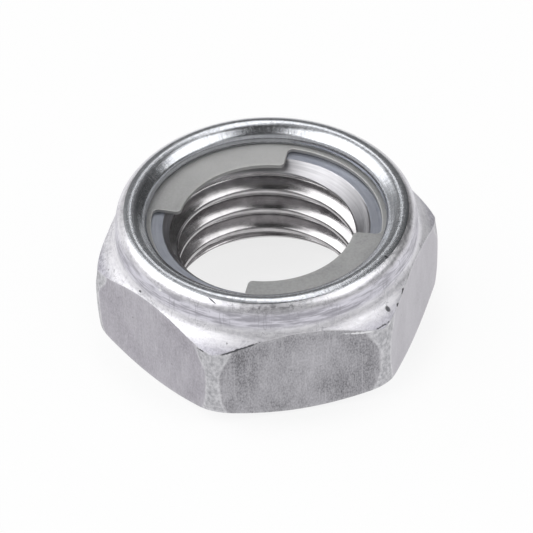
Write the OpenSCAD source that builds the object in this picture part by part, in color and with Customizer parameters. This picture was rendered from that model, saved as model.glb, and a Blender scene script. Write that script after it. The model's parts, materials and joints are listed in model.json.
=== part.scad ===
// Self-locking hexagon nut with a friction ring crimped under a rolled lip.
// Millimetres. +Z is the thread axis, and the bearing face lies on Z = 0.

/* [Thread] */
// Nominal diameter of the thread
thread_d = 16; // [14:0.5:17]
// Pitch of the thread
thread_pitch = 2; // [1:0.25:2.5]
// Mouth of the countersink at the bearing face, wider than the thread by this much all round
countersink_rim = 0.6; // [0.2:0.05:1.2]
// Slope of the countersinks at both ends of the thread, in degrees
countersink_slope = 45; // [30:1:60]

/* [Hexagon] */
// Width across the flats
across_flats = 24; // [23:0.25:27]
// Height of the flats at their middle
flat_h = 8.1; // [5:0.05:8.3]
// How far the sharp corners are rounded off
corner_trim = 0.28; // [0.1:0.02:0.9]
// Radius of the barrel curve of the corners along their height
corner_barrel = 40; // [25:1:80]
// Height at which the corners are widest
corner_waist_z = 4.4; // [2:0.1:5]
// Slope of the chamfer on the upper corners, in degrees
top_slope = 40; // [25:1:50]
// Step from the flats in to the bearing face
bearing_step = 0.5; // [0.2:0.05:1.5]
// Slope of the chamfer round the bearing face, in degrees
bearing_slope = 30; // [15:1:35]

/* [Collar and rolled lip] */
// Overall height
nut_h = 10.6; // [10.3:0.05:11.5]
// Step from the flats in to the collar
collar_step = 0.3; // [0.1:0.05:0.6]
// Wall of the collar round the friction ring
collar_wall = 1.8; // [1.65:0.05:2.1]
// Fillet at the foot of the collar
collar_fillet = 0.6; // [0.1:0.05:0.7]
// Radius of the rolled bead on the crown
crown_round = 1.15; // [1:0.01:1.25]
// How far the lip reaches in over the friction ring
lip_reach = 0.56; // [0.45:0.01:0.7]
// Thickness of the lip at its tip
lip_tip = 0.78; // [0.5:0.02:0.9]

/* [Friction ring] */
// Depth of the seat that the ring lies on, below the crown
seat_depth = 1.78; // [1.6:0.02:2]
// Step from the thread out to the inner edge of the seat
seat_step = 0.05; // [0.05:0.05:0.3]
// Thickness of the ring
ring_t = 0.35; // [0.25:0.05:0.5]
// Radial clearance between the ring and the collar
ring_clearance = 0.05; // [0.02:0.01:0.1]
// Width of the band that joins the tongues
ring_band = 0.9; // [0.75:0.05:1.2]
// How far the tongues reach in past the crests of the thread
tongue_reach = 0.06; // [0:0.01:0.2]
// Angle that each tongue covers, in degrees
tongue_span = 90; // [60:1:120]
// Direction of the middle of the first tongue, in degrees
tongue_turn = 112; // [0:1:180]
// Slope of the bent inner edges of the tongues, in degrees
tongue_dip = 3; // [0:1:12]
// Clearance between the bend of the tongues and the edge of the seat
bend_clearance = 0.05; // [0.02:0.01:0.2]
// Rounding of the free corners of the tongues
tongue_corner = 0.4; // [0.1:0.05:0.5]
// Fillet where the tongues meet the band
tongue_fillet = 0.45; // [0.1:0.05:0.5]

/* [Hidden] */
$fn = 180;

// Cutters run past the surfaces that they cut by this much
past = 1;
// Depth of a sharp V thread of unit pitch, cut back to its flat crests
thread_depth_ratio = 0.5413;
tongue_count = 2;
// The arcs at the corners of the tongues are wider than tangent ones by this factor
arc_ease = 1.06;
// The fillet at the foot of the collar takes up at most this share of the step beside it
fillet_share = 0.9;

// Thread
major_r = thread_d / 2;
minor_r = major_r - thread_depth_ratio * thread_pitch;
countersink_r = major_r + countersink_rim;

// Hexagon
flat_r = across_flats / 2;
sharp_corner_r = flat_r / cos(30);
corner_r = sharp_corner_r - corner_trim;
bearing_r = flat_r - bearing_step;

// Collar and lip
collar_r = flat_r - collar_step;
groove_r = collar_r - collar_wall;
crown_r = collar_r - crown_round;
crown_z = nut_h - crown_round;
foot_fillet = min(collar_fillet, fillet_share * collar_step / (1 - sin(top_slope)));
foot_r = collar_r + foot_fillet;
foot_z = flat_h + (flat_r - foot_r) * tan(top_slope) + foot_fillet / cos(top_slope);

// Friction ring and its seat
seat_z = nut_h - seat_depth;
seat_r = major_r + seat_step;
ring_r = groove_r - ring_clearance;
ring_top_z = seat_z + ring_t;
lip_r = ring_r - lip_reach;
lip_z = ring_top_z + lip_tip;
// The inner face of the lip runs from its tip to where it touches the bead
tip_reach = norm([crown_r - lip_r, crown_z - lip_z]);
lip_slope = asin(min(1, crown_round / tip_reach)) - atan2(lip_z - crown_z, crown_r - lip_r);
band_r = ring_r - ring_band;
tongue_r = minor_r - tongue_reach;
bend_r = seat_r - bend_clearance;
gap_span = 360 / tongue_count - tongue_span;

// Half section of the outside: bearing chamfer, barrel corners, top chamfer, collar, bead and lip
module body_section() {
    difference() {
        union() {
            intersection() {
                translate([corner_r - corner_barrel, corner_waist_z])
                    circle(r = corner_barrel, $fn = 360);
                polygon([
                    [0, 0],
                    [bearing_r, 0],
                    [sharp_corner_r, (sharp_corner_r - bearing_r) * tan(bearing_slope)],
                    [sharp_corner_r, flat_h - (sharp_corner_r - flat_r) * tan(top_slope)],
                    [foot_r - foot_fillet * sin(top_slope), foot_z - foot_fillet * cos(top_slope)],
                    [foot_r, foot_z],
                    [collar_r, foot_z],
                    [collar_r, crown_z],
                    [crown_r, crown_z],
                    [crown_r - crown_round * sin(lip_slope), crown_z + crown_round * cos(lip_slope)],
                    [lip_r - past, lip_z - past * tan(lip_slope)],
                    [0, lip_z - past * tan(lip_slope)]
                ]);
            }
            translate([crown_r, crown_z])
                circle(r = crown_round);
        }
        translate([foot_r, foot_z])
            circle(r = foot_fillet);
    }
}

// Half section of all that is cut out: thread bore, countersinks, ring groove and lip opening
module cavity_section() {
    lead_in = tan(countersink_slope);
    translate([0, -past])
        square([minor_r, nut_h + 2 * past]);
    polygon([
        [0, -past],
        [countersink_r + past / lead_in, -past],
        [0, countersink_r * lead_in]
    ]);
    polygon([
        [0, seat_z - seat_r * lead_in],
        [seat_r, seat_z],
        [0, seat_z]
    ]);
    translate([0, seat_z])
        square([groove_r, ring_t]);
    translate([0, seat_z])
        square([lip_r, seat_depth + past]);
}

module nut_body() {
    color([0.72, 0.72, 0.74])
    difference() {
        intersection() {
            cylinder(r = sharp_corner_r, h = nut_h, $fn = 6);
            rotate_extrude()
                body_section();
        }
        rotate_extrude()
            cavity_section();
    }
}

// Pie slice from the axis, centred on direction 0
module slice(radius, angle) {
    reach = radius / cos(angle / 2) + past;
    intersection() {
        circle(r = radius);
        polygon([
            [0, 0],
            reach * [cos(angle / 2), -sin(angle / 2)],
            reach * [cos(angle / 2), sin(angle / 2)]
        ]);
    }
}

// Window between two tongues, centred on direction 0, with filleted outer corners
module gap_window() {
    centre_r = band_r - tongue_fillet;
    inset = asin(tongue_fillet / centre_r);
    foot = centre_r * cos(inset);
    difference() {
        slice(band_r, gap_span);
        for (side = [-1, 1])
            rotate(side * (gap_span / 2 - inset))
                difference() {
                    translate([foot, (side - 1) * tongue_fillet])
                        square([band_r - foot + past, 2 * tongue_fillet]);
                    translate([centre_r, 0])
                        circle(r = tongue_fillet * arc_ease);
                }
    }
}

// What rounds off the two tongue corners beside a gap that is centred on direction 0
module corner_rounding() {
    centre_r = tongue_r + tongue_corner;
    inset = asin(tongue_corner / centre_r);
    difference() {
        slice(centre_r * cos(inset), gap_span + 2 * inset);
        for (side = [-1, 1])
            rotate(side * (gap_span / 2 + inset))
                translate([centre_r, 0])
                    circle(r = tongue_corner * arc_ease);
    }
}

// Ring before its gaps are cut: flat on the seat, bent down towards the thread
module ring_blank() {
    drop = (bend_r - tongue_r) * tan(tongue_dip);
    rotate_extrude()
        polygon([
            [tongue_r, seat_z - drop],
            [bend_r, seat_z],
            [ring_r, seat_z],
            [ring_r, ring_top_z],
            [bend_r, ring_top_z],
            [tongue_r, ring_top_z - drop]
        ]);
}

module friction_ring() {
    color([0.55, 0.56, 0.53])
    difference() {
        ring_blank();
        for (i = [0 : tongue_count - 1])
            rotate(tongue_turn + (i + 0.5) * 360 / tongue_count)
                linear_extrude(height = nut_h) {
                    gap_window();
                    corner_rounding();
                }
    }
}

nut_body();
friction_ring();
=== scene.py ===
import json
import math

import bmesh
import bpy
import numpy as np
from mathutils import Matrix, Vector

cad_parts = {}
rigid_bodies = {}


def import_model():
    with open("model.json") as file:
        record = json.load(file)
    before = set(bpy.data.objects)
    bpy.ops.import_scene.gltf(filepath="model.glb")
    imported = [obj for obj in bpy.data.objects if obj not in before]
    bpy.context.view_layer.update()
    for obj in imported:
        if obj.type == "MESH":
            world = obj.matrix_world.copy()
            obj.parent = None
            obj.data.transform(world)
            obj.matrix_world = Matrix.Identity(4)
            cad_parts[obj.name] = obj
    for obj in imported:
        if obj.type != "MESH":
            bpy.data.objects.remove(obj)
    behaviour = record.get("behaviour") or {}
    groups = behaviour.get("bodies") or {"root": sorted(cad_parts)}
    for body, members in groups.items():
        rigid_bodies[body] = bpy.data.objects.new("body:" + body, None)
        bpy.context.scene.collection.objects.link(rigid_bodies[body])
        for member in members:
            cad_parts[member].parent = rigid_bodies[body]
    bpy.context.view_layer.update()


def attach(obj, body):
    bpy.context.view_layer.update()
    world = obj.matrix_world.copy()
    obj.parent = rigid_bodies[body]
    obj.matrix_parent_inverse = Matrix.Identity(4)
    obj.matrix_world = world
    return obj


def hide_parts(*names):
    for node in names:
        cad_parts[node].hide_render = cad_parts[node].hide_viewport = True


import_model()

# Sizes of the nut in millimetres. They repeat those of the solids.
MM = 0.001
NUT_H = 10.6
FLAT_R = 12.0
CORNER_R = 13.576
CORNER_BARREL = 40.0
CORNER_WAIST_Z = 4.4
SIDES = 6
HALF_SECTOR = math.pi / SIDES
FLAT_H = 8.1
TOP_SLOPE = math.radians(40)
BEARING_R = 11.5
BEARING_SLOPE = math.radians(30)
COLLAR_R = 11.7
GROOVE_R = 9.9
SEAT_Z = 8.82
SEAT_R = 8.05
RING_R = 9.85
RING_T = 0.35
RING_TOP_Z = SEAT_Z + RING_T
CROWN_ROUND = 1.15
CROWN_R = COLLAR_R - CROWN_ROUND
CROWN_Z = NUT_H - CROWN_ROUND
LIP_R = 9.29
LIP_TIP = 0.78
LIP_Z = RING_TOP_Z + LIP_TIP
LIP_SLOPE = (math.asin(CROWN_ROUND / math.hypot(CROWN_R - LIP_R, CROWN_Z - LIP_Z))
             - math.atan2(LIP_Z - CROWN_Z, CROWN_R - LIP_R))
BAND_R = 8.95
TONGUE_R = 6.8574
BEND_R = 8.0
TONGUES = 2
TONGUE_DIP = math.radians(3)
TONGUE_SPAN = math.radians(90)
TONGUE_TURN = math.radians(112)
TONGUE_CORNER = 0.4
TONGUE_FILLET = 0.45
PITCH = 2.0
CREST_R = 6.9174
ROOT_R = 8.0
MOUTH_R = 8.6

# Thread, which the solids leave out. The photograph shows one crest in this direction at this height.
FLANK_SLOPE = math.radians(60)
CREST_WIDTH = 0.34
CREST_TURN = math.radians(79.4)
CREST_Z = 6.32
THREAD_SOFTNESS = 0.16
MOUTH_SOFTNESS = 0.045

# Softened edges of the real piece. A rounding takes up at most a share of the lines beside it.
ROUNDING_SHARE = 0.9
FOOT_FILLET = 1.2
FOOT_R = COLLAR_R + FOOT_FILLET
FOOT_Z = FLAT_H + (FLAT_R - FOOT_R) * math.tan(TOP_SLOPE) + FOOT_FILLET / math.cos(TOP_SLOPE)
CHAMFER_R = FOOT_R - FOOT_FILLET * math.sin(TOP_SLOPE)
BEARING_EDGE = 0.25
LOWER_EDGE = 0.16
UPPER_EDGE = 0.1
LIP_EDGE = 0.78
LIP_UNDER_EDGE = 0.2
SHEET_EDGE = 0.06
BEND_WIDTH = 0.9
# The underside of the lip keeps this far off the ring
LIP_GAP = 0.03
UNDER_Z = RING_TOP_Z + LIP_GAP

# Soft borders between flats and corners: their reach, which widens between two heights
LAND_BLEND = 0.16
LAND_FLARE_TOP = 0.7
LAND_FLARE_TOP_Z = (4.9, 6.9)
LAND_FLARE_FOOT = 0.18
LAND_FLARE_FOOT_Z = (2.4, 1.0)
LAND_BORDER = 0.8

# Radii at which the outer sheet of the nut is joined to the inner ones, and narrow strips beside edges
UNDER_OUTER_R = LIP_R + 0.35
UNDER_INNER_R = LIP_R + 0.48
FACE_OUTER_R = 9.6
FACE_INNER_R = MOUTH_R + 0.3
FACE_MIDDLE_R = 10.6
EDGE_STRIP = 0.06
GROOVE_STRIP = 0.05
CHAMFER_STRIP = 0.12
CHAMFER_LEAD = 0.2

# Rows and columns of the meshes. The columns of a sector stand closer together from an angle on.
INNER_COLUMNS = 360
SECTOR_FLAT_COLUMNS = 9
SECTOR_LAND_COLUMNS = 36
LAND_START = math.radians(20)
SIDE_ROWS = 16
CHAMFER_ROWS = 12
BEAD_ROWS = 30
BEAD_TURNED_ROWS = 15
LIP_ROWS = 12
LIP_UNDER_ROWS = 6
SEAT_ROWS = 5
THREAD_ROWS = 24
GAP_COLUMNS = 40
BEND_COLUMNS = 14
TONGUE_COLUMNS = 44
SHEET_ROWS = 10
SOLVE_STEPS = 12
SPREAD_STEPS = 60

# How much of an edge each point of a rounding is
SHARP_RIDGE = [0.3, 0.8, 1.0, 0.8, 0.3]
BLUNT_RIDGE = [0, 0.4, 0.5, 0.4, 0]
SHEET_RIDGE = [0.0, 0.6, 1.0, 0.7, 0.2]

# Distances within which points become one, in metres
JOIN = 2e-7
NUT_JOIN = 3e-7
RING_JOIN = 4e-7

# Finishes of the nut
FORGED, TURNED, BURNISHED, BEARING, CUT, SEAT = range(6)
OUTER_ZONES = (FORGED, TURNED, BURNISHED, BEARING)


# Section lines

def polar(radius, turn):
    return radius * math.cos(turn), radius * math.sin(turn)


def arc(centre, radius, start, end, count):
    angles = np.linspace(start, end, count)
    return [(centre[0] + radius * math.cos(a), centre[1] + radius * math.sin(a)) for a in angles]


def rounded(before, corner, after, radius, count=5):
    """Points of the curve that rounds off a corner of a section."""
    corner = Vector(corner)
    a, b = Vector(before) - corner, Vector(after) - corner
    longest = ROUNDING_SHARE * min(a.length, b.length)
    a.normalize()
    b.normalize()
    back = min(radius / math.tan(a.angle(b) / 2), longest)
    start, end = corner + a * back, corner + b * back
    shares = [i / (count - 1) for i in range(count)]
    return [tuple(start.lerp(corner, t).lerp(corner.lerp(end, t), t)) for t in shares]


def between(start, end, count):
    """Inner points of a straight run, without its ends."""
    return [tuple(Vector(start).lerp(Vector(end), i / (count + 1))) for i in range(1, count + 1)]


def soft_min(a, b, reach):
    h = max(reach - abs(a - b), 0) / reach
    return min(a, b) - h * h * reach / 4


def barrel_r(z):
    return CORNER_R - CORNER_BARREL + math.sqrt(CORNER_BARREL ** 2 - (z - CORNER_WAIST_Z) ** 2)


def smooth(low, high, value):
    share = min(max((value - low) / (high - low), 0), 1)
    return share * share * (3 - 2 * share)


def land_blend(z):
    """Reach of the soft edge between a flat and a corner; it widens towards both ends."""
    flare = LAND_FLARE_TOP * smooth(*LAND_FLARE_TOP_Z, z) + LAND_FLARE_FOOT * smooth(*LAND_FLARE_FOOT_Z, z)
    return LAND_BLEND + flare


def side_r(delta, z):
    """Radius of the hexagon's side at an angle from the middle of a flat."""
    return soft_min(FLAT_R / math.cos(delta), barrel_r(z), land_blend(z))


def land_share(delta, z):
    """How far a point of the side belongs to a corner: 0.5 is the border with the flat."""
    past = FLAT_R / math.cos(delta) - barrel_r(z) + (land_blend(z) - LAND_BLEND) / 2
    return min(max(0.5 + past / LAND_BORDER, 0), 1)


def upper_z(r):
    """Height of the chamfer, or of the fillet above it."""
    if r >= CHAMFER_R:
        return FLAT_H - (r - FLAT_R) * math.tan(TOP_SLOPE)
    return FOOT_Z - math.sqrt(FOOT_FILLET ** 2 - (FOOT_R - r) ** 2)


def upper_run(r):
    """Way along fillet and chamfer from the foot of the collar out to a radius."""
    turn = math.pi - math.acos((min(r, CHAMFER_R) - FOOT_R) / FOOT_FILLET)
    return FOOT_FILLET * turn + max(r - CHAMFER_R, 0) / math.cos(TOP_SLOPE)


def upper_point(way):
    """Point at a way along fillet and chamfer from the foot of the collar."""
    bend = FOOT_FILLET * (math.pi / 2 - TOP_SLOPE)
    turn = -math.pi + min(way, bend) / FOOT_FILLET
    more = max(way - bend, 0)
    return (FOOT_R + FOOT_FILLET * math.cos(turn) + more * math.cos(TOP_SLOPE),
            FOOT_Z + FOOT_FILLET * math.sin(turn) - more * math.sin(TOP_SLOPE))


def outer_section(delta):
    """Section from the bearing face up over the side, the collar and the bead to under the lip.
    Gives the points, the zone of the strip after each point, and how much of an edge and of a corner
    each point is."""
    low_z = high_z = FLAT_H / 2
    for _ in range(SOLVE_STEPS):
        low_z = (side_r(delta, low_z) - BEARING_R) * math.tan(BEARING_SLOPE)
        high_z = upper_z(side_r(delta, high_z))
    low = (side_r(delta, low_z), low_z)
    high = (side_r(delta, high_z), high_z)
    way = upper_run(high[0])
    points, zones, edges = [], [], []

    def run(items, zone, ridge=None):
        points.extend(items)
        zones.extend([zone] * len(items))
        edges.extend(ridge or [0.0] * len(items))

    run([(FACE_OUTER_R, 0), (FACE_MIDDLE_R, 0)], BEARING)
    run(rounded((FACE_MIDDLE_R, 0), (BEARING_R, 0), low, BEARING_EDGE), TURNED, BLUNT_RIDGE)
    start = rounded((BEARING_R, 0), low, (low[0], low[1] + 1), LOWER_EDGE)
    run(between(points[-1], start[0], 2), TURNED)
    first = len(points)
    run(start, FORGED, SHARP_RIDGE)
    top = rounded((high[0], high[1] - 1), high, upper_point(way - CHAMFER_LEAD), UPPER_EDGE)
    for i in range(1, SIDE_ROWS + 1):
        z = start[-1][1] + (top[0][1] - start[-1][1]) * i / (SIDE_ROWS + 1)
        run([(side_r(delta, z), z)], FORGED)
    run(top[:2], FORGED, SHARP_RIDGE[:2])
    run(top[2:], TURNED, SHARP_RIDGE[2:])
    last = len(points)
    shares = [1 - i / (CHAMFER_ROWS - 1) for i in range(CHAMFER_ROWS)]
    run([upper_point((way - CHAMFER_STRIP) * share) for share in shares], TURNED)
    bead = arc((CROWN_R, CROWN_Z), CROWN_ROUND, 0, math.pi / 2 + LIP_SLOPE, BEAD_ROWS)
    run(between(points[-1], bead[0], 2), TURNED)
    run(bead[:BEAD_TURNED_ROWS], TURNED)
    run(bead[BEAD_TURNED_ROWS:], BURNISHED)
    tip, under = (LIP_R, LIP_Z), (LIP_R, UNDER_Z)
    end = rounded(bead[-1], tip, under, LIP_EDGE, LIP_ROWS)
    run(between(bead[-1], end[0], 2) + end + between(end[-1], under, 1), BURNISHED)
    run(rounded(tip, under, (GROOVE_R, UNDER_Z), LIP_UNDER_EDGE, LIP_UNDER_ROWS), BURNISHED)
    run([(UNDER_OUTER_R, UNDER_Z)], BURNISHED)
    lands = [land_share(delta, z) if first <= i < last else 0.0 for i, (_, z) in enumerate(points)]
    return points, zones, edges, lands


def inner_section():
    """Section from under the lip round the groove and along the seat."""
    points = [(UNDER_INNER_R, UNDER_Z), (GROOVE_R - GROOVE_STRIP, UNDER_Z), (GROOVE_R, UNDER_Z)]
    points += [(GROOVE_R, SEAT_Z), (GROOVE_R - GROOVE_STRIP, SEAT_Z)]
    points += between(points[-1], (SEAT_R, SEAT_Z), SEAT_ROWS)
    return points + [(SEAT_R + EDGE_STRIP, SEAT_Z), (SEAT_R, SEAT_Z)]


# Nodes

def add(tree, kind, settings=None, inputs=None):
    made = tree.nodes.new(kind)
    for key, value in (settings or {}).items():
        setattr(made, key, value)
    for key, value in (inputs or {}).items():
        if isinstance(value, bpy.types.NodeSocket):
            tree.links.new(value, made.inputs[key])
        else:
            made.inputs[key].default_value = value
    return made


def calc(tree, operation, *values):
    made = add(tree, "ShaderNodeMath", {"operation": operation}, dict(enumerate(values)))
    return made.outputs[0]


def times(tree, first, second):
    return calc(tree, "MULTIPLY", first, second)


def larger(tree, first, second):
    return calc(tree, "MAXIMUM", first, second)


def vector_calc(tree, operation, *values):
    made = add(tree, "ShaderNodeVectorMath", {"operation": operation}, dict(enumerate(values)))
    return made.outputs["Value" if operation in ("DOT_PRODUCT", "LENGTH") else "Vector"]


def combine(tree, x, y, z=0.0):
    return add(tree, "ShaderNodeCombineXYZ", None, {0: x, 1: y, 2: z}).outputs[0]


def separate(tree, vector):
    return add(tree, "ShaderNodeSeparateXYZ", None, {0: vector}).outputs


def new_tree(name, kind, inputs, outputs):
    """Node tree with named inputs (label, socket type, value) and outputs (label, socket type)."""
    tree = bpy.data.node_groups.new(name, kind)
    for label, form, value in inputs:
        made = tree.interface.new_socket(name=label, in_out="INPUT", socket_type=form)
        if value is not None:
            made.default_value = value
    for label, form in outputs:
        tree.interface.new_socket(name=label, in_out="OUTPUT", socket_type=form)
    return tree, tree.nodes.new("NodeGroupInput").outputs, tree.nodes.new("NodeGroupOutput").inputs


FLOAT, INTEGER = "NodeSocketFloat", "NodeSocketInt"
VECTOR = "NodeSocketVector"
GEOMETRY, MATERIAL = "NodeSocketGeometry", "NodeSocketMaterial"


# Geometry trees

def thread_tree():
    """A right-hand thread between two countersinks, as one sheet whose rows follow the helix."""
    lengths = ("Pitch", "Crest radius", "Root radius", "Crest width", "Crest height", "Bottom", "Top",
               "Bottom mouth radius", "Top mouth radius", "Corner softness", "Mouth softness")
    tree, given, out = new_tree("cut_thread", "GeometryNodeTree", [
        ("Columns", INTEGER, INNER_COLUMNS), ("Rows per pitch", INTEGER, THREAD_ROWS),
        *((label, FLOAT, 0) for label in lengths), ("Finish", MATERIAL, None),
    ], [("Geometry", GEOMETRY)])
    span = calc(tree, "SUBTRACT", given["Top"], given["Bottom"])
    turns = calc(tree, "ADD", calc(tree, "CEIL", calc(tree, "DIVIDE", span, given["Pitch"])), 2)
    first = calc(tree, "SUBTRACT", given["Bottom"], given["Crest height"])
    first = calc(tree, "SUBTRACT", calc(tree, "FLOOR", calc(tree, "DIVIDE", first, given["Pitch"])), 1)
    rows = calc(tree, "MULTIPLY_ADD", turns, given["Rows per pitch"], 1)
    sheet = add(tree, "GeometryNodeMeshGrid", None, {
        "Size X": 1.0, "Size Y": 1.0, "Vertices X": calc(tree, "ADD", given["Columns"], 1),
        "Vertices Y": rows})
    across, up, _ = separate(tree, add(tree, "GeometryNodeInputPosition").outputs[0])
    share = calc(tree, "ADD", across, 0.5)
    station = calc(tree, "MULTIPLY_ADD", calc(tree, "ADD", up, 0.5), turns, first)
    height = calc(tree, "ADD", station, share)
    height = calc(tree, "MULTIPLY_ADD", height, given["Pitch"], given["Crest height"])
    height = larger(tree, calc(tree, "MINIMUM", height, given["Top"]), given["Bottom"])
    away = calc(tree, "ABSOLUTE", calc(tree, "SUBTRACT", station, calc(tree, "ROUND", station)))
    away = calc(tree, "MULTIPLY_ADD", away, given["Pitch"], times(tree, given["Crest width"], -0.5))
    flank = calc(tree, "MULTIPLY_ADD", away, math.tan(FLANK_SLOPE), given["Crest radius"])
    soft = given["Corner softness"]
    radius = calc(tree, "SMOOTH_MIN", flank, given["Root radius"], soft)
    radius = calc(tree, "SMOOTH_MAX", radius, given["Crest radius"], soft)
    above_bottom = calc(tree, "SUBTRACT", height, given["Bottom"])
    below_top = calc(tree, "SUBTRACT", given["Top"], height)
    for mouth, depth in (("Bottom mouth radius", above_bottom), ("Top mouth radius", below_top)):
        cone = calc(tree, "SUBTRACT", given[mouth], depth)
        radius = calc(tree, "SMOOTH_MAX", radius, cone, given["Mouth softness"])
    turn = times(tree, share, math.tau)
    spot = combine(tree, times(tree, radius, calc(tree, "COSINE", turn)),
                   times(tree, radius, calc(tree, "SINE", turn)), height)
    for kind, inputs in (("SetPosition", {"Position": spot}), ("MergeByDistance", {"Distance": JOIN}),
                         ("RealizeInstances", {}), ("SetMaterial", {"Material": given["Finish"]})):
        sheet = add(tree, "GeometryNode" + kind, None, {"Geometry": sheet.outputs[0], **inputs})
    tree.links.new(sheet.outputs[0], out["Geometry"])
    return tree


def copies_tree(name, zones):
    """Copies of one sector round the axis, joined to one sheet, with a finish for each zone."""
    tree, given, out = new_tree(name, "GeometryNodeTree", [
        ("Geometry", GEOMETRY, None), ("Count", INTEGER, SIDES), ("First turn", FLOAT, 0),
        ("Join distance", FLOAT, JOIN),
    ] + [(f"Finish {zone}", MATERIAL, None) for zone in range(zones)], [("Geometry", GEOMETRY)])
    points = add(tree, "GeometryNodePoints", None, {"Count": given["Count"]})
    number = add(tree, "GeometryNodeInputIndex").outputs[0]
    step = calc(tree, "DIVIDE", math.tau, given["Count"])
    turn = add(tree, "FunctionNodeAxisAngleToRotation", None, {
        "Axis": (0, 0, 1), "Angle": calc(tree, "MULTIPLY_ADD", number, step, given["First turn"])})
    sheet = add(tree, "GeometryNodeInstanceOnPoints", None, {
        "Points": points.outputs[0], "Instance": given["Geometry"], "Rotation": turn.outputs[0]})
    sheet = add(tree, "GeometryNodeRealizeInstances", None, {"Geometry": sheet.outputs[0]})
    sheet = add(tree, "GeometryNodeMergeByDistance", None, {
        "Geometry": sheet.outputs[0], "Distance": given["Join distance"]})
    zone_number = add(tree, "GeometryNodeInputNamedAttribute", {"data_type": "INT"}, {"Name": "zone"})
    for zone in range(zones):
        here = add(tree, "FunctionNodeCompare", {"data_type": "INT", "operation": "EQUAL"},
                   {2: zone_number.outputs[0], 3: zone})
        sheet = add(tree, "GeometryNodeSetMaterial", None, {
            "Geometry": sheet.outputs[0], "Selection": here.outputs[0],
            "Material": given[f"Finish {zone}"]})
    tree.links.new(sheet.outputs[0], out["Geometry"])
    return tree


def run_tree(mesh, tree, values):
    """Evaluates a geometry tree on a mesh and gives the result as a plain mesh."""
    host = bpy.data.objects.new(tree.name, mesh)
    bpy.context.scene.collection.objects.link(host)
    modifier = host.modifiers.new(tree.name, "NODES")
    modifier.node_group = tree
    for item in tree.interface.items_tree:
        if item.in_out == "INPUT" and item.name in values:
            modifier[item.identifier] = values[item.name]
    graph = bpy.context.evaluated_depsgraph_get()
    result = bpy.data.meshes.new_from_object(host.evaluated_get(graph), depsgraph=graph)
    host.modifiers.clear()
    bpy.data.objects.remove(host)
    return result


# Meshes

def grid_mesh(name, columns, zones=None, marks=None, closed=False):
    """Mesh of columns of points in millimetres. The zones are given by strip, and the marks, which are
    edge and land, by point."""
    rows = len(columns[0])
    places = [tuple(c * MM for c in p) for column in columns for p in column]
    faces, face_zones = [], []
    last = len(columns) if closed else len(columns) - 1
    for i in range(last):
        here, there = i * rows, (i + 1) % len(columns) * rows
        for j in range(rows - 1):
            faces.append((here + j, there + j, there + j + 1, here + j + 1))
            face_zones.append(zones[j] if zones else 0)
    mesh = bpy.data.meshes.new(name)
    mesh.from_pydata(places, [], faces)
    mesh.attributes.new("zone", "INT", "FACE").data.foreach_set("value", face_zones)
    for mark in ("edge", "land"):
        values = (marks or {}).get(mark) or [[0.0] * rows] * len(columns)
        values = [value for column in values for value in column]
        mesh.attributes.new(mark, "FLOAT", "POINT").data.foreach_set("value", values)
    return mesh


def sector_angles():
    """Angles of the columns of one sector from the middle of its flat, closer together at the corners."""
    half = list(np.linspace(0, LAND_START, SECTOR_FLAT_COLUMNS, endpoint=False))
    half += list(np.linspace(LAND_START, HALF_SECTOR, SECTOR_LAND_COLUMNS + 1))
    return [-a for a in reversed(half[1:])] + half


def hexagon_sector():
    columns, edges, lands = [], [], []
    for delta in sector_angles():
        points, zones, edge, land = outer_section(delta)
        columns.append([(*polar(r, delta), z) for r, z in points])
        edges.append(edge)
        lands.append(land)
    return grid_mesh("hexagon_sector", columns, zones, {"edge": edges, "land": lands})


def ring_of(bm, radius, height):
    """Vertices of a ring, by angle, and their angles."""
    found = [v for v in bm.verts if abs(v.co.z - height * MM) < JOIN
             and abs(v.co.xy.length - radius * MM) < JOIN]
    found.sort(key=lambda v: math.atan2(v.co.y, v.co.x))
    return found, [math.atan2(v.co.y, v.co.x) for v in found]


def zip_rings(bm, first, second, material):
    """Flat strip of triangles between two rings that have different numbers of points."""
    (a, a_turn), (b, b_turn) = first, second
    i = j = 0
    while i < len(a) or j < len(b):
        next_a = a_turn[(i + 1) % len(a)] + (math.tau if i + 1 >= len(a) else 0)
        next_b = b_turn[(j + 1) % len(b)] + (math.tau if j + 1 >= len(b) else 0)
        if j >= len(b) or (i < len(a) and next_a <= next_b):
            corners = (a[i % len(a)], a[(i + 1) % len(a)], b[j % len(b)])
            i += 1
        else:
            corners = (a[i % len(a)], b[(j + 1) % len(b)], b[j % len(b)])
            j += 1
        bm.faces.new(corners).material_index = material


def new_mesh(name, finishes):
    mesh = bpy.data.meshes.new(name)
    for finish in finishes:
        mesh.materials.append(finish)
    return mesh


def write_smooth(bm, mesh):
    """Turns all faces outwards and writes them to a mesh with smooth shading."""
    bmesh.ops.recalc_face_normals(bm, faces=bm.faces)
    bm.to_mesh(mesh)
    bm.free()
    mesh.polygons.foreach_set("use_smooth", [True] * len(mesh.polygons))
    return mesh


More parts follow.
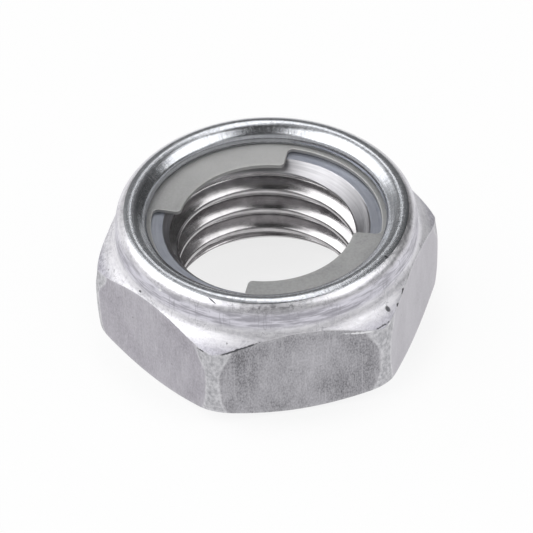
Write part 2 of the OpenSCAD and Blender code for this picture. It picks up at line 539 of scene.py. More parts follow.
def nut_mesh(finishes):
    """Closed mesh of the nut: forged outside, rolled lip, seat and cut thread."""
    outside = run_tree(hexagon_sector(), copies_tree("hexagon_copies", len(OUTER_ZONES)), {
        "Count": SIDES, "First turn": HALF_SECTOR, "Join distance": JOIN,
        **{f"Finish {zone}": finishes[zone] for zone in OUTER_ZONES}})
    turns = [math.tau * i / INNER_COLUMNS for i in range(INNER_COLUMNS)]
    seat = grid_mesh("groove_and_seat", [
        [(*polar(r, t), z) for r, z in inner_section()] for t in turns], closed=True)
    seat.materials.append(finishes[SEAT])
    mouth = grid_mesh("mouth", [
        [(*polar(r, t), 0) for r in (MOUTH_R, MOUTH_R + EDGE_STRIP, FACE_INNER_R)]
        for t in turns], closed=True)
    mouth.materials.append(finishes[BEARING])
    crest_z = (CREST_Z - PITCH * CREST_TURN / math.tau) * MM
    thread = run_tree(bpy.data.meshes.new("thread_blank"), thread_tree(), {
        "Columns": INNER_COLUMNS, "Rows per pitch": THREAD_ROWS, "Pitch": PITCH * MM,
        "Crest radius": CREST_R * MM, "Root radius": ROOT_R * MM, "Crest width": CREST_WIDTH * MM,
        "Crest height": crest_z, "Bottom": 0.0, "Top": SEAT_Z * MM, "Bottom mouth radius": MOUTH_R * MM,
        "Top mouth radius": SEAT_R * MM, "Corner softness": THREAD_SOFTNESS * MM,
        "Mouth softness": MOUTH_SOFTNESS * MM, "Finish": finishes[CUT]})
    mesh = new_mesh("nut_body_dressed", finishes)
    bm = bmesh.new()
    for part in (outside, seat, mouth, thread):
        start = len(bm.faces)
        bm.from_mesh(part)
        bm.faces.ensure_lookup_table()
        names = [m.name if m else "" for m in part.materials]
        for face in bm.faces[start:]:
            face.material_index = mesh.materials.find(names[face.material_index])
    bmesh.ops.remove_doubles(bm, verts=bm.verts, dist=NUT_JOIN)
    zip_rings(bm, ring_of(bm, UNDER_OUTER_R, UNDER_Z), ring_of(bm, UNDER_INNER_R, UNDER_Z), SEAT)
    zip_rings(bm, ring_of(bm, FACE_OUTER_R, 0), ring_of(bm, FACE_INNER_R, 0), BEARING)
    return write_smooth(bm, mesh)


def sheet_top(r):
    """Height of the ring's upper face: flat on the seat, bent down towards the thread."""
    past = BEND_R - r
    if past <= -BEND_WIDTH / 2:
        return RING_TOP_Z
    slope = math.tan(TONGUE_DIP)
    if past >= BEND_WIDTH / 2:
        return RING_TOP_Z - past * slope
    return RING_TOP_Z - slope * (past + BEND_WIDTH / 2) ** 2 / (2 * BEND_WIDTH)


def tongue_outline():
    """Half of the ring's inner outline, from the middle of one gap to the middle of the next."""
    half = TONGUE_SPAN / 2
    fillet_r = BAND_R - TONGUE_FILLET
    fillet_in = math.asin(TONGUE_FILLET / fillet_r)
    corner_r = TONGUE_R + TONGUE_CORNER
    corner_in = math.asin(TONGUE_CORNER / corner_r)
    turn = half + fillet_in
    points = [polar(BAND_R, t) for t in np.linspace(math.pi / 2, turn, GAP_COLUMNS, endpoint=False)]
    fillet = arc(polar(fillet_r, turn), TONGUE_FILLET, turn, turn - math.pi / 2 - fillet_in, BEND_COLUMNS)
    points += fillet[:-1]
    foot, tip = fillet_r * math.cos(fillet_in), corner_r * math.cos(corner_in)
    points += [polar(r, half) for r in np.linspace(foot, tip, BEND_COLUMNS, endpoint=False)]
    turn = half - corner_in
    corner = arc(polar(corner_r, turn), TONGUE_CORNER, half + math.pi / 2, turn + math.pi, BEND_COLUMNS)
    points += corner[:-1]
    points += [polar(TONGUE_R, t) for t in np.linspace(turn, 0, TONGUE_COLUMNS)]
    return points + [(x, -y) for x, y in reversed(points[:-1])]


def ring_half():
    """Sheet of half the ring, as closed sections across it."""
    outline = np.array(tongue_outline())
    ahead = np.vstack([outline[1:], outline[-1:] + (outline[-1:] - outline[-2:-1])])
    behind = np.vstack([outline[:1] - (outline[1:2] - outline[:1]), outline[:-1]])
    along = ahead - behind
    along /= np.linalg.norm(along, axis=1)[:, None]
    into = np.stack([-along[:, 1], along[:, 0]], axis=1)
    for end in (0, -1):
        into[end] = outline[end] / np.linalg.norm(outline[end])
    spread = np.unwrap(np.arctan2(outline[:, 1], outline[:, 0]))
    for _ in range(SPREAD_STEPS):
        spread[1:-1] = (spread[:-2] + 2 * spread[1:-1] + spread[2:]) / 4
    columns, edges = [], []
    for point, inward, turn in zip(outline, into, spread):
        inset = point + inward * SHEET_EDGE
        outer = np.array(polar(RING_R - SHEET_EDGE, turn))
        section = []
        for quarter in np.linspace(0, math.pi / 2, len(SHEET_RIDGE)):
            x, y = point + inward * SHEET_EDGE * (1 - math.cos(quarter))
            section.append((x, y, -SHEET_EDGE * (1 - math.sin(quarter))))
        for i in range(1, SHEET_ROWS + 1):
            x, y = inset + (outer - inset) * i / SHEET_ROWS
            section.append((x, y, 0))
        section.append((*polar(RING_R, turn), -SHEET_EDGE))
        ridge = SHEET_RIDGE + [0.0] * (SHEET_ROWS + 1)
        top = [(x, y, sheet_top(math.hypot(x, y)) + dz) for x, y, dz in section]
        bottom = [(x, y, sheet_top(math.hypot(x, y)) - RING_T - dz) for x, y, dz in section]
        columns.append(top + bottom[::-1] + top[:1])
        edges.append(ridge + ridge[::-1] + ridge[:1])
    return grid_mesh("ring_half", columns, None, {"edge": edges})


def ring_mesh(finish):
    """Closed mesh of the friction ring, made of two equal halves."""
    whole = run_tree(ring_half(), copies_tree("ring_copies", 1), {
        "Count": TONGUES, "First turn": TONGUE_TURN, "Join distance": RING_JOIN, "Finish 0": finish})
    bm = bmesh.new()
    bm.from_mesh(whole)
    bmesh.ops.remove_doubles(bm, verts=bm.verts, dist=RING_JOIN)
    for face in bm.faces:
        face.material_index = 0
    return write_smooth(bm, new_mesh("friction_ring_dressed", [finish]))


# Shader groups

def place_mm(tree):
    """Place on the piece in millimetres."""
    place = add(tree, "ShaderNodeTexCoord").outputs["Object"]
    made = add(tree, "ShaderNodeVectorMath", {"operation": "SCALE"}, {0: place, "Scale": 1 / MM})
    return made.outputs[0]


def noise(tree, place, scale, detail, roughness=0.5, seed=None):
    """Noise at a place. A seed, or a value in its stead, moves through other noises."""
    inputs = {"Vector": place, "Scale": scale, "Detail": detail, "Roughness": roughness}
    if seed is not None:
        inputs["W"] = seed
    dimensions = "3D" if seed is None else "4D"
    return add(tree, "ShaderNodeTexNoise", {"noise_dimensions": dimensions}, inputs).outputs["Fac"]


def remap(tree, value, low, high, to_low=0.0, to_high=1.0):
    made = add(tree, "ShaderNodeMapRange", {"interpolation_type": "SMOOTHSTEP"}, {
        "Value": value, "From Min": low, "From Max": high, "To Min": to_low, "To Max": to_high})
    return made.outputs[0]


def lathe_lines_group():
    """Fine lines that run round the axis."""
    tree, given, out = new_tree("lathe_lines", "ShaderNodeTree", [
        ("Lines per mm", FLOAT, 6), ("Breaks", FLOAT, 5), ("Roughen", FLOAT, 0.5)], [("Lines", FLOAT)])
    x, y, z = separate(tree, place_mm(tree))
    flat = combine(tree, x, y)
    radius = vector_calc(tree, "LENGTH", flat)
    across, along, _ = separate(tree, vector_calc(tree, "NORMALIZE", flat))
    spot = combine(tree, times(tree, across, given["Breaks"]), times(tree, along, given["Breaks"]),
                   times(tree, z, given["Lines per mm"]))
    lines = noise(tree, spot, 1.0, 3.0, given["Roughen"], times(tree, radius, given["Lines per mm"]))
    tree.links.new(remap(tree, lines, 0.25, 0.75), out["Lines"])
    return tree


def mottle_group():
    """Cloudy grain of cold-formed steel, drawn out along the height."""
    tree, given, out = new_tree("mottle", "ShaderNodeTree", [
        ("Grains per mm", FLOAT, 4), ("Stretch", FLOAT, 2), ("Detail", FLOAT, 3), ("Seed", FLOAT, 0)],
        [("Mottle", FLOAT)])
    x, y, z = separate(tree, place_mm(tree))
    spot = combine(tree, x, y, calc(tree, "DIVIDE", z, given["Stretch"]))
    cloud = noise(tree, spot, given["Grains per mm"], given["Detail"], 0.6, given["Seed"])
    tree.links.new(remap(tree, cloud, 0.25, 0.75), out["Mottle"])
    return tree


def pits_group():
    """Scattered small pits."""
    tree, given, out = new_tree("pits", "ShaderNodeTree", [
        ("Pits per mm", FLOAT, 1), ("Width", FLOAT, 0.12), ("Share", FLOAT, 0.3)], [("Pits", FLOAT)])
    place = place_mm(tree)
    cells = add(tree, "ShaderNodeTexVoronoi", {"voronoi_dimensions": "3D", "feature": "F1"}, {
        "Vector": place, "Scale": given["Pits per mm"], "Randomness": 1.0})
    wobble = noise(tree, place, 9.0, 2.0)
    chosen = add(tree, "ShaderNodeSeparateColor", None, {0: cells.outputs["Color"]}).outputs[0]
    chosen = calc(tree, "LESS_THAN", chosen, given["Share"])
    size = times(tree, calc(tree, "ADD", wobble, 0.5), given["Width"])
    near = calc(tree, "SUBTRACT", 1.0, calc(tree, "DIVIDE", cells.outputs["Distance"], size))
    tree.links.new(times(tree, remap(tree, near, 0.0, 0.6), chosen), out["Pits"])
    return tree


def scratches_group():
    """Hairline scratches along a set direction, broken up in patches."""
    tree, given, out = new_tree("scratches", "ShaderNodeTree", [
        ("Turn", VECTOR, (0.3, 0.5, 0.7)), ("Fineness", FLOAT, 3), ("Width", FLOAT, 0.03),
        ("Amount", FLOAT, 0.5), ("Seed", FLOAT, 0)], [("Scratches", FLOAT)])
    place = place_mm(tree)
    turned = add(tree, "ShaderNodeMapping", {"vector_type": "POINT"}, {
        "Vector": place, "Rotation": given["Turn"], "Scale": (1.0, 1.0, 0.06)}).outputs[0]
    lines = noise(tree, turned, given["Fineness"], 1.0, seed=given["Seed"])
    off = calc(tree, "ABSOLUTE", calc(tree, "SUBTRACT", lines, 0.5))
    line = calc(tree, "SUBTRACT", 1.0, calc(tree, "DIVIDE", off, given["Width"]))
    patch = noise(tree, place, 0.5, 2.0, seed=given["Seed"])
    level = calc(tree, "SUBTRACT", 1.0, given["Amount"])
    patch = remap(tree, patch, calc(tree, "SUBTRACT", level, 0.1), calc(tree, "ADD", level, 0.1))
    tree.links.new(times(tree, remap(tree, line, 0.0, 1.0), patch), out["Scratches"])
    return tree


def edge_wear_group():
    """Rubbed edges: the piece's own edge attribute, broken up by grain."""
    tree, given, out = new_tree("edge_wear", "ShaderNodeTree", [
        ("Amount", FLOAT, 1), ("Break up", FLOAT, 0.6)], [("Wear", FLOAT)])
    edge = add(tree, "ShaderNodeAttribute", {"attribute_name": "edge"}).outputs["Fac"]
    grain = remap(tree, noise(tree, place_mm(tree), 2.2, 4.0), 0.3, 0.7)
    grain = times(tree, calc(tree, "SUBTRACT", grain, 0.5), given["Break up"])
    wear = times(tree, calc(tree, "MULTIPLY_ADD", grain, edge, edge), given["Amount"])
    tree.links.new(calc(tree, "MINIMUM", larger(tree, wear, 0.0), 1.0), out["Wear"])
    return tree


def nick_group():
    """One short nick: a spot drawn out along a direction, in millimetres."""
    tree, given, out = new_tree("nick", "ShaderNodeTree", [
        ("Point", VECTOR, (0, 0, 0)), ("Way", VECTOR, (1, 0, 0)), ("Length", FLOAT, 0.5),
        ("Width", FLOAT, 0.1), ("Ragged", FLOAT, 0.3)], [("Nick", FLOAT)])
    place = place_mm(tree)
    grain = noise(tree, place, 4.0, 3.0)
    off = vector_calc(tree, "SUBTRACT", place, given["Point"])
    along = vector_calc(tree, "DOT_PRODUCT", off, vector_calc(tree, "NORMALIZE", given["Way"]))
    whole = vector_calc(tree, "DOT_PRODUCT", off, off)
    across = calc(tree, "SUBTRACT", whole, times(tree, along, along))
    across = calc(tree, "DIVIDE", calc(tree, "SQRT", larger(tree, across, 0.0)), given["Width"])
    along = calc(tree, "DIVIDE", calc(tree, "ABSOLUTE", along), given["Length"])
    far = calc(tree, "ADD", times(tree, across, across), times(tree, along, along))
    far = calc(tree, "SQRT", far)
    far = calc(tree, "MULTIPLY_ADD", calc(tree, "SUBTRACT", grain, 0.5), given["Ragged"], far)
    tree.links.new(remap(tree, far, 0.5, 0.25), out["Nick"])
    return tree


GROUPS = {}


def effect(tree, name, **inputs):
    """Places a shader group in a material with its own values, and gives its output."""
    made = add(tree, "ShaderNodeGroup", {"node_tree": GROUPS[name]},
               {key.replace("_", " "): value for key, value in inputs.items()})
    return made.outputs[0]


def blend(tree, share, first, second):
    made = add(tree, "ShaderNodeMix", {"data_type": "RGBA"}, {0: share, 6: first, 7: second})
    return made.outputs[2]


def bump(tree, height, strength, distance):
    """Normal of a relief whose depth is given in millimetres."""
    inputs = {"Strength": strength, "Distance": distance * MM, "Height": height}
    return add(tree, "ShaderNodeBump", None, inputs).outputs[0]


def new_material(name, metallic=1.0):
    material = bpy.data.materials.new(name)
    material.use_nodes = True
    material.node_tree.nodes["Principled BSDF"].inputs["Metallic"].default_value = metallic
    return material, material.node_tree


def finished(material, tone, rough, normal):
    """The material, with its tone, roughness and relief wired to its shader."""
    inputs = material.node_tree.nodes["Principled BSDF"].inputs
    for label, source in (("Base Color", tone), ("Roughness", rough), ("Normal", normal)):
        material.node_tree.links.new(source, inputs[label])
    return material


# Marks, in millimetres: middle, direction, length, width, raggedness. The crown and chamfer ones are marks
# of handling.
CROWN_DARK_MARKS = [
    ((-6.1, -9.35, 10.4), (0.47, -0.68, -0.21), 1.1, 0.16, 0.3),
    ((7.75, -7.7, 10.5), (0.5, -0.3, -0.3), 0.5, 0.2, 0.4),
]
CHAMFER_DARK_MARKS = [
    ((7.24, -10.3, 7.59), (0.4, -0.55, -0.7), 0.7, 0.5, 0.4),
    ((8.13, -9.87, 7.44), (0.5, 0.5, 0.2), 0.5, 0.3, 0.6),
    ((7.97, -10.19, 7.14), (0.2, -0.5, -0.4), 0.6, 0.3, 0.6),
    ((8.78, -8.76, 7.76), (0.3, 0.9, 0.2), 0.9, 0.3, 0.6),
    ((-10.81, -4.74, 8.29), (0.3, -0.7, 0.2), 0.5, 0.3, 0.6),
]
# Dark broken lines along the fold where the chamfers run into the front flats
EDGE_DARK_MARKS = [
    ((-4.9, -11.93, 7.32), (3.3, -0.15, 0.9), 5.4, 0.2, 0.9),
    ((-7.2, -11.3, 7.02), (0.5, -0.8, 0.0), 1.8, 0.2, 0.9),
    ((6.6, -11.5, 7.1), (1.5, 0.8, 0.0), 2.6, 0.2, 1.0),
]
CROWN_BRIGHT_MARKS = [((7.98, -7.92, 10.34), (0.5, -0.1, -0.3), 0.6, 0.24, 0.3)]
CHAMFER_BRIGHT_MARKS = [((-9.59, -6.62, 9.78), (0.5, -0.5, 0.2), 0.4, 0.3, 0.4)]
# Lighter rims beside that fold
EDGE_BRIGHT_MARKS = [
    ((5.0, -11.98, 7.12), (2.4, 0.1, -0.35), 3.6, 0.24, 0.9),
    ((7.3, -11.15, 6.95), (0.9, 0.8, 0.1), 1.4, 0.24, 0.8),
]
MARK_TONE = (0.13, 0.13, 0.14, 1)

# Where tones of the nut change, in millimetres
# Depths along a flat's direction over which painted shade or painted light fades in on that flat
PAINTED_FLAT_DEPTH = (11.2, 11.9)
COLLAR_FOOT_Z = (8.3, 8.9)
COLLAR_TOP_Z = (10.3, 9.7)
CHAMFER_ROUGH_Z = (8.2, 8.9)
CHAMFER_TIP_R = (12.3, 13.2)
CONE_Z = (7.55, 7.95)
# Distances towards the back over which painted light fades in on the ring's far half
FAR_SIDE_LIGHT_Y = (1.0, 9.0)


def marks(tree, items):
    """Mask of several nicks."""
    found = 0.0
    for point, way, length, width, ragged in items:
        nick = effect(tree, "nick", Point=point, Way=way, Length=length, Width=width, Ragged=ragged)
        found = larger(tree, nick, found)
    return found


def painted_flat_mask(tree, turn, most=1.0):
    """Mask of the flat that looks in a direction, given in degrees, for painting shade or light on that one
    flat.
    """
    way = (*polar(1, math.radians(turn)), 0)
    depth = vector_calc(tree, "DOT_PRODUCT", place_mm(tree), way)
    return remap(tree, depth, *PAINTED_FLAT_DEPTH, 0.0, most)


def forged_steel():
    """Bare steel of the flats: satin and strongly grained, with lighter, rubbed corners, painted shade on
    the front flat and painted light on the flat to its right.
    """
    material, tree = new_material("forged_steel")
    cloud = effect(tree, "mottle", Grains_per_mm=0.35, Stretch=1.6, Detail=3.0, Seed=2.0)
    fine = effect(tree, "mottle", Grains_per_mm=8.0, Stretch=1.8, Detail=2.0, Seed=5.0)
    hairs = effect(tree, "scratches", Turn=(0.0, 0.0, 0.0), Fineness=2.6, Width=0.05, Amount=0.5, Seed=4.0)
    coarse = effect(tree, "mottle", Grains_per_mm=1.3, Stretch=3.0, Detail=5.0, Seed=7.0)
    grain = calc(tree, "MULTIPLY_ADD", coarse, 0.22, times(tree, fine, 0.78))
    speck = effect(tree, "mottle", Grains_per_mm=3.5, Stretch=1.2, Detail=4.0, Seed=8.0)
    pits = effect(tree, "pits", Pits_per_mm=1.3, Width=0.14, Share=0.16)
    wear = effect(tree, "edge_wear", Amount=0.4, Break_up=1.2)
    dark, bright = marks(tree, EDGE_DARK_MARKS), marks(tree, EDGE_BRIGHT_MARKS)
    # Masks for painted shade on the flat that faces the front and painted light on the flat to its right
    front_flat_shade = painted_flat_mask(tree, -90)
    right = painted_flat_mask(tree, -30, 0.4)
    wave = effect(tree, "mottle", Grains_per_mm=0.5, Stretch=1.0, Detail=3.0, Seed=3.0)
    land = add(tree, "ShaderNodeAttribute", {"attribute_name": "land"}).outputs["Fac"]
    border = calc(tree, "MULTIPLY_ADD", calc(tree, "SUBTRACT", wave, 0.5), 0.10, land)
    corner = remap(tree, border, 0.41, 0.59)
    rim = remap(tree, calc(tree, "ABSOLUTE", calc(tree, "SUBTRACT", border, 0.5)), 0.13, 0.0)
    rim = times(tree, rim, calc(tree, "MULTIPLY_ADD", speck, 0.7, 0.25))
    side = blend(tree, grain, (0.275, 0.262, 0.29, 1), (0.51, 0.487, 0.54, 1))
    # Painted shade: the front flat takes a much darker tone; the next line paints light on the flat to its
    # right
    tone = blend(tree, front_flat_shade, side, blend(tree, grain, (0.09, 0.088, 0.096, 1), (0.46, 0.454, 0.482, 1)))
    tone = blend(tree, right, tone, (0.66, 0.65, 0.68, 1))
    tone = blend(tree, times(tree, cloud, 0.5), tone, (0.64, 0.628, 0.665, 1))
    tone = blend(tree, times(tree, hairs, 0.25), tone, (0.66, 0.65, 0.68, 1))
    tone = blend(tree, corner, tone, blend(tree, speck, (0.34, 0.34, 0.36, 1), (0.66, 0.655, 0.68, 1)))
    tone = blend(tree, times(tree, rim, 0.6), tone, (0.78, 0.775, 0.80, 1))
    tone = blend(tree, larger(tree, wear, bright), tone, (0.78, 0.78, 0.80, 1))
    tone = blend(tree, larger(tree, times(tree, pits, 0.6), dark), tone, MARK_TONE)
    rough = calc(tree, "MULTIPLY_ADD", grain, 0.10, 0.40)
    rough = calc(tree, "MULTIPLY_ADD", rim, -0.08, rough)
    height = calc(tree, "MULTIPLY_ADD", speck, corner, grain)
    height = calc(tree, "MULTIPLY_ADD", larger(tree, pits, dark), -1.5, height)
    return finished(material, tone, rough, bump(tree, height, 0.5, 0.014))


def turned_steel():
    """Chamfers and collar: turned, then scuffed in handling."""
    material, tree = new_material("turned_steel")
    lines = effect(tree, "lathe_lines", Lines_per_mm=6.0, Breaks=9.0, Roughen=0.6)
    streaks = effect(tree, "lathe_lines", Lines_per_mm=1.7, Breaks=3.5, Roughen=0.6)
    streaks = calc(tree, "MULTIPLY_ADD", lines, 0.5, times(tree, streaks, 0.5))
    streaks = remap(tree, streaks, 0.22, 0.78)
    hairs = effect(tree, "scratches", Turn=(0.9, 0.2, 0.4), Fineness=2.5, Width=0.03, Amount=0.5, Seed=6.0)
    scuff = effect(tree, "mottle", Grains_per_mm=3.6, Stretch=0.7, Detail=5.0, Seed=9.0)
    scuff = remap(tree, scuff, 0.2, 0.8)
    pits = effect(tree, "pits", Pits_per_mm=1.1, Width=0.12, Share=0.12)
    wear = effect(tree, "edge_wear", Amount=0.4, Break_up=1.2)
    dark = marks(tree, CROWN_DARK_MARKS + CHAMFER_DARK_MARKS + EDGE_DARK_MARKS)
    bright = marks(tree, CROWN_BRIGHT_MARKS + CHAMFER_BRIGHT_MARKS + EDGE_BRIGHT_MARKS)
    x, y, z = separate(tree, place_mm(tree))
    collar = times(tree, remap(tree, z, *COLLAR_FOOT_Z, 0.0, 0.75), remap(tree, z, *COLLAR_TOP_Z))
    radius = vector_calc(tree, "LENGTH", combine(tree, x, y))
    dull = remap(tree, radius, *CHAMFER_TIP_R, 0.0, 0.85)
    tone = blend(tree, streaks, (0.66, 0.65, 0.69, 1), (0.82, 0.812, 0.845, 1))
    tone = blend(tree, times(tree, scuff, 0.5), tone, (0.94, 0.932, 0.955, 1))
    tone = blend(tree, dull, tone, blend(tree, scuff, (0.36, 0.35, 0.40, 1), (0.58, 0.57, 0.63, 1)))
    tone = blend(tree, collar, tone, blend(tree, streaks, (0.25, 0.242, 0.284, 1), (0.66, 0.646, 0.722, 1)))
    tone = blend(tree, times(tree, hairs, 0.4), tone, (0.24, 0.235, 0.26, 1))
    tone = blend(tree, larger(tree, wear, bright), tone, (0.80, 0.80, 0.82, 1))
    tone = blend(tree, larger(tree, times(tree, pits, 0.6), dark), tone, MARK_TONE)
    rough = remap(tree, z, *CHAMFER_ROUGH_Z, 0.44, 0.32)
    rough = calc(tree, "MULTIPLY_ADD", scuff, 0.1, rough)
    height = calc(tree, "MULTIPLY_ADD", lines, 0.5, scuff)
    height = calc(tree, "MULTIPLY_ADD", larger(tree, pits, dark), -2.0, height)
    return finished(material, tone, rough, bump(tree, height, 0.35, 0.010))


def burnished_steel():
    """Crown and lip: rolled bright."""
    material, tree = new_material("burnished_steel")
    lines = effect(tree, "lathe_lines", Lines_per_mm=9.0, Breaks=5.0, Roughen=0.6)
    ticks = effect(tree, "lathe_lines", Lines_per_mm=0.9, Breaks=80.0, Roughen=0.6)
    grain = effect(tree, "mottle", Grains_per_mm=4.0, Stretch=1.0, Detail=3.0, Seed=4.0)
    dark, bright = marks(tree, CROWN_DARK_MARKS), marks(tree, CROWN_BRIGHT_MARKS)
    tone = blend(tree, times(tree, lines, ticks), (0.51, 0.525, 0.558, 1), (0.78, 0.795, 0.82, 1))
    tone = blend(tree, bright, tone, (0.86, 0.86, 0.88, 1))
    tone = blend(tree, dark, tone, MARK_TONE)
    rough = calc(tree, "MULTIPLY_ADD", grain, 0.07, 0.2)
    height = calc(tree, "MULTIPLY_ADD", ticks, 0.4, calc(tree, "ADD", lines, grain))
    return finished(material, tone, rough, bump(tree, height, 0.3, 0.008))


def bearing_steel():
    """Bearing face: faced off, with coarse rings."""
    material, tree = new_material("bearing_steel")
    lines = effect(tree, "lathe_lines", Lines_per_mm=5.0, Breaks=1.6, Roughen=0.6)
    scars = effect(tree, "scratches", Turn=(1.2, 0.4, 0.2), Fineness=1.4, Width=0.02, Amount=0.5, Seed=3.0)
    tone = blend(tree, lines, (0.48, 0.48, 0.50, 1), (0.60, 0.60, 0.62, 1))
    tone = blend(tree, scars, tone, (0.72, 0.72, 0.74, 1))
    rough = calc(tree, "MULTIPLY_ADD", lines, 0.1, 0.28)
    return finished(material, tone, rough, bump(tree, lines, 0.4, 0.012))


def cut_steel():
    """Thread: cut bright, with tool lines that run round."""
    material, tree = new_material("cut_steel")
    lines = effect(tree, "lathe_lines", Lines_per_mm=8.0, Breaks=2.0, Roughen=0.5)
    cloud = effect(tree, "mottle", Grains_per_mm=1.2, Stretch=1.0, Detail=3.0, Seed=7.0)
    cone = remap(tree, separate(tree, place_mm(tree))[2], *CONE_Z)
    tone = blend(tree, cloud, (0.43, 0.418, 0.425, 1), (0.57, 0.556, 0.565, 1))
    tone = blend(tree, cone, tone, blend(tree, lines, (0.36, 0.356, 0.372, 1), (0.50, 0.495, 0.512, 1)))
    rough = calc(tree, "MULTIPLY_ADD", cloud, 0.06, 0.17)
    rough = calc(tree, "MULTIPLY_ADD", cone, 0.14, rough)
    return finished(material, tone, rough, bump(tree, lines, 0.12, 0.008))


def seat_steel():
    """Seat under the ring: turned, blue-grey."""
    material, tree = new_material("seat_steel")
    lines = effect(tree, "lathe_lines", Lines_per_mm=6.0, Breaks=1.6, Roughen=0.5)
    cloud = effect(tree, "mottle", Grains_per_mm=0.9, Stretch=1.0, Detail=4.0, Seed=2.0)
    tone = blend(tree, lines, (0.24, 0.255, 0.30, 1), (0.36, 0.376, 0.425, 1))
    tone = blend(tree, times(tree, cloud, 0.3), tone, (0.46, 0.472, 0.51, 1))
    rough = calc(tree, "MULTIPLY_ADD", lines, 0.08, 0.36)
    return finished(material, tone, rough, bump(tree, lines, 0.45, 0.012))


def spring_steel():
    """Friction ring: tempered sheet, matte and a little olive, with painted light on its far half."""
    material, tree = new_material("spring_steel", 0.5)
    grain = effect(tree, "mottle", Grains_per_mm=5.0, Stretch=1.0, Detail=3.0, Seed=1.0)
    cloud = effect(tree, "mottle", Grains_per_mm=0.5, Stretch=1.0, Detail=3.0, Seed=6.0)
    wear = effect(tree, "edge_wear", Amount=0.8, Break_up=0.5)
    # Painted light: the far half of the ring, which lies under the lip, is given a lighter tone
    far = remap(tree, separate(tree, place_mm(tree))[1], *FAR_SIDE_LIGHT_Y, 0.0, 0.4)
    tone = blend(tree, cloud, (0.31, 0.311, 0.31, 1), (0.37, 0.371, 0.368, 1))
    tone = blend(tree, far, tone, (0.66, 0.655, 0.64, 1))
    tone = blend(tree, times(tree, grain, 0.4), tone, (0.54, 0.54, 0.55, 1))
    tone = blend(tree, wear, tone, (0.66, 0.66, 0.64, 1))
    rough = calc(tree, "MULTIPLY_ADD", grain, 0.06, 0.58)
    return finished(material, tone, rough, bump(tree, grain, 0.3, 0.008))


# Camera and studio

CAMERA_TURN = math.radians(-10.571)
CAMERA_RISE = math.radians(42.219)
CAMERA_ROLL = math.radians(1.808)
CAMERA_DISTANCE = 300.0
IMAGE_SIDE = 533
PIXELS_PER_MM = 12.662
ORIGIN_PIXEL = (269.239, 308.953)
SENSOR = 36.0
CAMERA_CLIP = (0.01, 20.0)
LAMP_DISTANCE = 0.5
FLOOR_REACH = 1.5
# The floor lies this far below the bearing face, so that the two don't share a plane
FLOOR_Z = -0.00002
# Sines of the heights between which the white backdrop ends
BACKDROP_TOP = (0.09, 0.12)
# Distances from the axis, in metres, between which the floor keeps less and less of the shadow
SHADOW_R = (0.009, 0.016)


def place_camera():
    focal = PIXELS_PER_MM * CAMERA_DISTANCE
    back = Vector((math.sin(CAMERA_TURN) * math.cos(CAMERA_RISE),
                   -math.cos(CAMERA_TURN) * math.cos(CAMERA_RISE), math.sin(CAMERA_RISE)))
    right = Vector((math.cos(CAMERA_TURN), math.sin(CAMERA_TURN), 0))
    up = back.cross(right)
    rolled_right = right * math.cos(CAMERA_ROLL) - up * math.sin(CAMERA_ROLL)
    rolled_up = up * math.cos(CAMERA_ROLL) + right * math.sin(CAMERA_ROLL)
    basis = Matrix((rolled_right, rolled_up, back)).transposed()
    lift = math.atan((ORIGIN_PIXEL[1] - IMAGE_SIDE / 2) / focal)
    swing = math.atan((ORIGIN_PIXEL[0] - IMAGE_SIDE / 2) / focal)
    basis = basis @ Matrix.Rotation(lift, 3, "X") @ Matrix.Rotation(swing, 3, "Y")
    data = bpy.data.cameras.new("camera")
    data.sensor_width = SENSOR
    data.lens = SENSOR * focal / IMAGE_SIDE
    data.clip_start, data.clip_end = CAMERA_CLIP
    camera = bpy.data.objects.new("camera", data)
    camera.matrix_world = Matrix.Translation(back * CAMERA_DISTANCE * MM) @ basis.to_4x4()
    bpy.context.scene.collection.objects.link(camera)
    bpy.context.scene.camera = camera


def studio_point(turn, rise, distance):
    """Point round the nut: turn 0 is to the right of the camera's view, 90 is behind the nut."""
    turn, rise = math.radians(turn) + CAMERA_TURN, math.radians(rise)
    return Vector((*polar(math.cos(rise), turn), math.sin(rise))) * distance


def softbox(name, turn, rise, wide, tall, radiance, slant=0.0):
    """Area lamp that looks at the nut; wide and tall are the angles that it covers."""
    width, height = (2 * LAMP_DISTANCE * math.tan(math.radians(angle) / 2) for angle in (wide, tall))
    data = bpy.data.lights.new(name, "AREA")
    data.shape = "RECTANGLE"
    data.size, data.size_y = width, height
    data.energy = radiance * math.pi * width * height
    lamp = bpy.data.objects.new(name, data)
    place = studio_point(turn, rise, LAMP_DISTANCE)
    turned = place.to_track_quat("Z", "Y").to_matrix() @ Matrix.Rotation(math.radians(slant), 3, "Z")
    lamp.matrix_world = Matrix.Translation(place) @ turned.to_4x4()
    lamp.visible_camera = False
    bpy.context.scene.collection.objects.link(lamp)


def seen_directly(tree):
    """1 for what the camera, a reflection or a refraction shows, 0 for light on other surfaces."""
    path = add(tree, "ShaderNodeLightPath")
    seen = larger(tree, path.outputs["Is Camera Ray"], path.outputs["Is Glossy Ray"])
    return larger(tree, seen, path.outputs["Is Transmission Ray"])


def towards(tree, way, turn, rise, low, high, around, middle):
    """Value that changes from around to middle close to a direction in the studio."""
    near = vector_calc(tree, "DOT_PRODUCT", way, studio_point(turn, rise, 1))
    return remap(tree, near, low, high, around, middle)


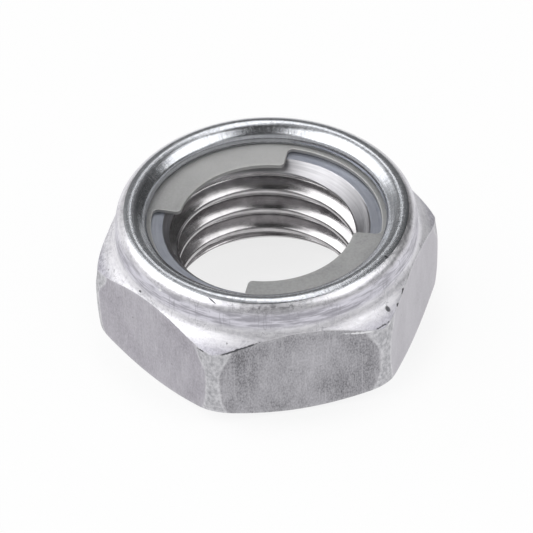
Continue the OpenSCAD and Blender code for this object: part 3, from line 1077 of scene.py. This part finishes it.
def build_world():
    """Grey walls that are darker and paler in places, over a white backdrop that ends low."""
    world = bpy.data.worlds.new("studio")
    bpy.context.scene.world = world
    world.use_nodes = True
    tree = world.node_tree
    tree.nodes.clear()
    way = add(tree, "ShaderNodeTexCoord").outputs["Generated"]
    behind = vector_calc(tree, "DOT_PRODUCT", way, studio_point(90, 0, 1))
    left = vector_calc(tree, "DOT_PRODUCT", way, studio_point(180, 0, 1))
    walls = remap(tree, calc(tree, "SUBTRACT", left, behind), -0.9, 0.6, 0.2, 0.5)
    dark_above = towards(tree, way, 270, 69, 0.78, 0.95, 1.0, 0.06)
    dark_right = towards(tree, way, 30, 24, 0.78, 0.96, 1.0, 0.3)
    pale_left = towards(tree, way, 160, 45, 0.88, 0.98, 0.0, 1.9)
    room = times(tree, times(tree, walls, dark_above), dark_right)
    room = calc(tree, "ADD", room, pale_left)
    backdrop = remap(tree, separate(tree, way)[2], *BACKDROP_TOP, 1.0, 0.0)
    level = larger(tree, room, times(tree, seen_directly(tree), backdrop))
    sky = add(tree, "ShaderNodeBackground", None, {"Color": (1, 1, 1, 1), "Strength": level})
    add(tree, "ShaderNodeOutputWorld", None, {"Surface": sky.outputs[0]})


def floor_material():
    """Matt and pale, and white where it is seen, with the nut's shadow left in it."""
    material = bpy.data.materials.new("studio_floor")
    material.use_nodes = True
    tree = material.node_tree
    tree.nodes.clear()
    place = add(tree, "ShaderNodeTexCoord").outputs["Object"]
    tone = blend(tree, noise(tree, place, 400.0, 2.0), (0.86, 0.86, 0.86, 1), (0.88, 0.88, 0.88, 1))
    matt = add(tree, "ShaderNodeBsdfDiffuse", None, {"Color": tone})
    glow = add(tree, "ShaderNodeEmission", None, {"Color": (1, 1, 1, 1), "Strength": 1.0})
    share = remap(tree, vector_calc(tree, "LENGTH", place), *SHADOW_R, 0.76, 0.95)
    share = times(tree, seen_directly(tree), share)
    mixed = add(tree, "ShaderNodeMixShader", None, {0: share, 1: matt.outputs[0], 2: glow.outputs[0]})
    add(tree, "ShaderNodeOutputMaterial", None, {"Surface": mixed.outputs[0]})
    return material


def build_studio():
    mesh = bpy.data.meshes.new("studio_floor")
    corners = ((-1, -1), (1, -1), (1, 1), (-1, 1))
    mesh.from_pydata([(x * FLOOR_REACH, y * FLOOR_REACH, 0) for x, y in corners], [], [(0, 1, 2, 3)])
    mesh.materials.append(floor_material())
    floor = bpy.data.objects.new("studio_floor", mesh)
    floor.location.z = FLOOR_Z
    bpy.context.scene.collection.objects.link(floor)
    softbox("softbox_left", 201, 52, 42, 38, 1.95)
    softbox("softbox_right", 347, 52, 40, 38, 1.95)
    softbox("softbox_back", 85, 61, 10, 38, 2.4, 24)
    build_world()
    bpy.context.scene.view_settings.view_transform = "Standard"


def build_nut():
    for maker in (lathe_lines_group, mottle_group, pits_group, scratches_group, edge_wear_group,
                  nick_group):
        group = maker()
        GROUPS[group.name] = group
    makers = (forged_steel, turned_steel, burnished_steel, bearing_steel, cut_steel, seat_steel)
    finishes = [maker() for maker in makers]
    shown = bpy.context.scene.collection.objects
    nut = bpy.data.objects.new("nut_body_dressed", nut_mesh(finishes))
    shown.link(nut)
    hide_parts("nut_body")
    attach(nut, "root")
    ring = bpy.data.objects.new("friction_ring_dressed", ring_mesh(spring_steel()))
    shown.link(ring)
    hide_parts("friction_ring")
    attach(ring, "root")


place_camera()
build_studio()
build_nut()
